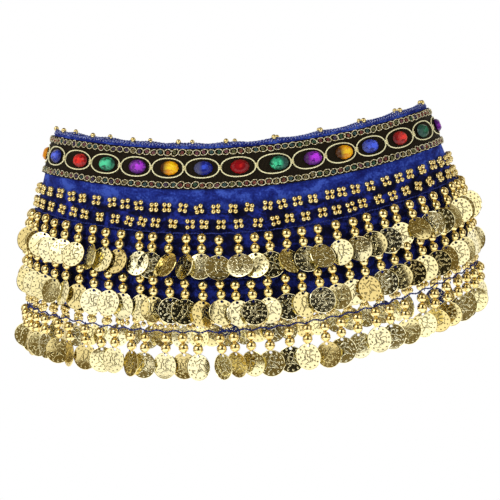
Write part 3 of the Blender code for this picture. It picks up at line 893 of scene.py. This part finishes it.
def hangCoins(name, node, shares, drops, sway, swing, chance):  # a coin under each strand's second bead
    count = len(shares)
    place = shares + sway * (fringes["coinTop"] - fringes["firstBead"])
    turns = np.clip(chance.normal(0, fringes["yawSpread"], count), -fringes["yawMost"], fringes["yawMost"])
    yaws = np.interp(place, fringes["yawShares"], fringes["yaws"]) + turns
    leans = chance.normal(0, fringes["leanSpread"], count)
    leans = swing / fringes["coin"] + np.clip(leans, fringes["leanLeast"], fringes["leanMost"])
    level = drops + fringes["coinTop"] - fringes["coinLift"]
    plans = coinPlan(place, level, leans, yaws, chance.normal(0, fringes["rollSpread"], count))
    shape = coinShape()
    values = {"die": np.repeat(chance.choice([0.0, 3.7, 9.1], count), len(shape[0])),
              "wash": np.repeat(chance.uniform(0, 1, count), len(shape[0]))}
    tops, axes = np.array([plan[5] for plan in plans]), np.array([plan[2:5] for plan in plans])
    meshPiece("coins" + name, copies(shape, tops, axes), stamped, [node], values, smooth=False)


def linkShape():  # the thread of one strand, from the line through both beads to the coin's hole
    t = np.linspace(0, 1, 7)
    path = np.stack([0 * t, fringes["linkLean"] * t, fringes["linkFrom"] + fringes["linkLength"] * t], -1)
    return tube(path, np.tile([0.0, 1.0, 0.0], (7, 1)), fringes["linkRadius"], 5)


def makeFringe(name, node, drop, sag, strands, phase, swing, wave, order):
    chance = np.random.default_rng(fringes["seed"] + order)
    shares = evenShares(strands, phase) + chance.normal(0, fringes["placeSpread"] / strands, strands)
    drops = rowDrop(shares, drop, sag) + chance.normal(0, fringes["dropSpread"], strands)
    sway = chance.normal(0, fringes["swaySpread"], strands) / girthAt(drop)  # share sideways per metre down
    hangBeads(name, node, shares, drops, sway, chance)
    hangCoins(name, node, shares, drops, sway, swing, chance)
    line = np.linspace(-hips["threadEnd"], hips["threadEnd"], 2400)
    dips = wave * np.cos(2 * np.pi * (line * strands - 0.5 - phase + strands / 2))
    cord = twistedLine(line, rowDrop(line, drop, sag) + dips, fringes["seat"] + fringes["cord"],
                       fringes["cord"] * 1.15)
    along, down, out = clothAxes(shares, drops)
    links = copies(linkShape(), onCloth(shares, drops, beadOut * 0.6), np.stack([along, out, down], 1))
    meshPiece("thread" + name, joined([cord, links]), blueThread, [node])


for order, row in enumerate(fringes["rows"]):
    makeFringe(*row, order)
print("fringes made")

# Stage, in metres, degrees and watts: a plain white floor far below, white surroundings, soft walls of
# light, and a dark flag round the camera that gives the metals their dark middles.
studio = {
    "camera": (0.0, -1.5, 0.0), "pitch": 3.297, "roll": 4.197, "lens": 134.99, "aim": (0.0, 0.0, -0.08),
    "floorDrop": 0.75, "floorSize": 3.0, "room": 0.31, "mirrored": 0.29, "warmth": "#CCB06C",
    "lights": (  # name, place, width and height, power
        ("leftWall", (-1.65, -1.38, 0.64), (2.5, 1.95), 16),
        ("rightWall", (1.72, -1.24, 0.60), (1.9, 1.9), 13),
        ("highWall", (-0.95, -1.15, 1.35), (1.6, 0.9), 5),
        ("highBox", (-0.70, -1.25, 1.24), (0.75, 0.6), 3.5),
        ("backLeftWall", (-1.45, 1.55, 0.5), (1.9, 2.0), 11),
        ("backRightWall", (1.45, 1.55, 0.5), (1.9, 2.0), 11),
    ),
    "flag": (0.25, -1.61, 0.36), "flagSize": (1.0, 1.7), "flagColour": "#050403",
}


def placeObject(item, place, right, up, back):  # its own x, y and z axes as world vectors
    item.matrix_world = Matrix([*np.stack([right, up, back, place], -1).tolist(), (0, 0, 0, 1)])


def aimObject(item, place):  # turned so that its -Z looks at the scarf
    back = unit(np.subtract(place, studio["aim"]))
    right = unit(np.cross((0, 0, 1), back))
    placeObject(item, place, right, np.cross(back, right), back)


def makeCamera():
    data = bpy.data.cameras.new("photoCamera")
    data.lens = studio["lens"]
    data.clip_end = 100
    camera = inScene("photoCamera", data)
    pitch, roll = math.radians(studio["pitch"]), math.radians(studio["roll"])
    right, up = np.array((1.0, 0, 0)), np.array((0, math.sin(pitch), math.cos(pitch)))
    placeObject(camera, studio["camera"], right * math.cos(roll) - up * math.sin(roll),
                right * math.sin(roll) + up * math.cos(roll), np.cross(right, up))
    bpy.context.scene.camera = camera


def makeWorld():
    # The camera sees plain white, cloth is lit by a dimmer room, and metals mirror a warm tint of it.
    world = bpy.data.worlds.new("whiteStudio")
    world.use_nodes = True
    tree, room = world.node_tree, studio["room"]
    direct, glossy = (addNode(tree, "LightPath", take=f"Is {ray} Ray") for ray in ("Camera", "Glossy"))
    seen = addNode(tree, "Math", (direct, 1 - room, room), operation="MULTIPLY_ADD")
    strength = addNode(tree, "Math", (glossy, studio["mirrored"] - room, seen), operation="MULTIPLY_ADD")
    tint = addNode(tree, "Mix", {0: glossy, 6: (1, 1, 1, 1), 7: linear(studio["warmth"])}, take=2,
                   data_type="RGBA")
    setInputs(tree, tree.nodes["Background"], {"Color": tint, "Strength": strength})
    bpy.context.scene.world = world


def makeLight(name, place, size, power):
    data = bpy.data.lights.new(name, "AREA")
    data.shape = "RECTANGLE"
    data.size, data.size_y = size
    data.energy = power
    aimObject(inScene(name, data), place)


def makeBoard(name, size, level, material):  # a flat board that faces +Z
    w, h = size[0] / 2, size[1] / 2
    mesh = bpy.data.meshes.new(name)
    mesh.from_pydata([(-w, -h, level), (w, -h, level), (w, h, level), (-w, h, level)], [], [(0, 1, 2, 3)])
    mesh.materials.append(material)
    return inScene(name, mesh)


def makeFloor():
    made, add = startMaterial("paleFloor")
    grain = add("TexNoise", Vector=add("TexCoord", take="Object"), Scale=1.33)
    tone = add("ValToRGB", (grain,), stops=((0.3, "#FAFAFA"), (0.7, "#FFFFFF")))
    shaded(made, Base_Color=tone, Roughness=0.9, Emission_Color=(1, 1, 1, 1), Emission_Strength=0.75)
    side = studio["floorSize"]
    floor = makeBoard("floor", (side, side), -studio["floorDrop"], made)


def makeFlag():  # only metals see it
    made = startMaterial("cameraFlagCloth")[0]
    shaded(made, Base_Color=linear(studio["flagColour"]), Roughness=1.0)
    flag = makeBoard("cameraFlag", studio["flagSize"], 0.0, made)
    aimObject(flag, studio["flag"])
    flag.visible_camera = flag.visible_diffuse = flag.visible_shadow = flag.visible_transmission = False


makeCamera()
makeWorld()
makeFloor()
for light in studio["lights"]:
    makeLight(*light)
makeFlag()
bpy.context.scene.view_settings.view_transform = "Standard"
print("stage made")
